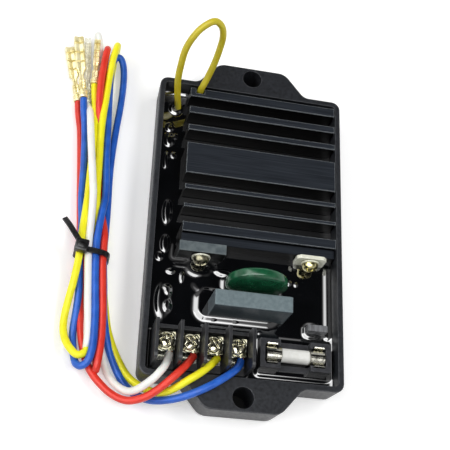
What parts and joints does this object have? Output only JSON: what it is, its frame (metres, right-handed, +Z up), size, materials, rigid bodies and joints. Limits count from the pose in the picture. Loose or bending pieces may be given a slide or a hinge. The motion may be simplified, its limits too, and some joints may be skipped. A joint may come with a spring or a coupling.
{
  "type": "automatic voltage regulator",
  "caption": "Potted voltage regulator in a shallow black tray with two bolt ears, a finned heat sink, barrier screw terminals and an open fuse holder.",
  "frame": {"origin": "centre of the tray on the surface it stands on", "axes": "+Z up, +Y along the tray towards the ear beside the heat sink, +X towards the fuse"},
  "size_m": [0.1017, 0.1371, 0.041],
  "materials": {
    "case_plastic": "satin",
    "board_laminate": "satin",
    "potting_resin": "gloss",
    "anodised_aluminium": "black anodised",
    "device_aluminium": "satin",
    "device_screw_steel": "zinc plated",
    "bush_nylon": "satin",
    "tinned_tab": "tinned",
    "device_epoxy": "matte",
    "disc_varnish": "gloss",
    "capacitor_shell": "satin",
    "small_capacitor_shell": "matte",
    "terminal_plastic": "satin",
    "terminal_tin": "tinned",
    "clamp_tin": "bright",
    "terminal_screw_nickel": "nickel plated",
    "copper_strand": "bare",
    "holder_plastic": "matte",
    "fuse_ceramic": "gloss",
    "cap_nickel": "bright",
    "clip_bronze": "bright",
    "white_insulation": "satin",
    "red_insulation": "satin",
    "yellow_insulation": "satin",
    "blue_insulation": "satin",
    "tie_nylon": "satin",
    "connector_brass": "bright",
    "jumper_insulation": "satin"
  },
  "bodies": {
    "root": {"case_tray": "case_plastic", "circuit_board": "board_laminate", "potting_resin": "potting_resin", "heat_sink": "anodised_aluminium", "left_power_device": "device_aluminium", "left_device_bush": "bush_nylon", "left_device_screw": "device_screw_steel", "right_device_tab": "tinned_tab", "right_device_package": "device_epoxy", "right_device_bush": "bush_nylon", "right_device_screw": "device_screw_steel", "varistor_disc": "disc_varnish", "film_capacitor": "capacitor_shell", "small_capacitor": "small_capacitor_shell", "terminal_block": "terminal_plastic", "fuse_holder": "holder_plastic", "fuse_tube": "fuse_ceramic", "fuse_cap_left": "cap_nickel", "fuse_cap_right": "cap_nickel", "fuse_clip_left": "clip_bronze", "fuse_clip_right": "clip_bronze", "lead_bundle": "blue_insulation", "cable_tie": "tie_nylon", "jumper": "jumper_insulation", "white_lead": "white_insulation", "white_connector": "connector_brass", "red_lead": "red_insulation", "red_connector": "connector_brass", "yellow_lead": "yellow_insulation", "yellow_connector": "connector_brass", "blue_lead": "blue_insulation", "blue_connector": "connector_brass", "terminal_plate_1": "terminal_tin", "clamp_plate_1": "clamp_tin", "terminal_screw_1": "terminal_screw_nickel", "lead_core_1": "copper_strand", "terminal_plate_2": "terminal_tin", "clamp_plate_2": "clamp_tin", "terminal_screw_2": "terminal_screw_nickel", "lead_core_2": "copper_strand", "terminal_plate_3": "terminal_tin", "clamp_plate_3": "clamp_tin", "terminal_screw_3": "terminal_screw_nickel", "lead_core_3": "copper_strand", "terminal_plate_4": "terminal_tin", "clamp_plate_4": "clamp_tin", "terminal_screw_4": "terminal_screw_nickel", "lead_core_4": "copper_strand"}
  },
  "joints": []
}
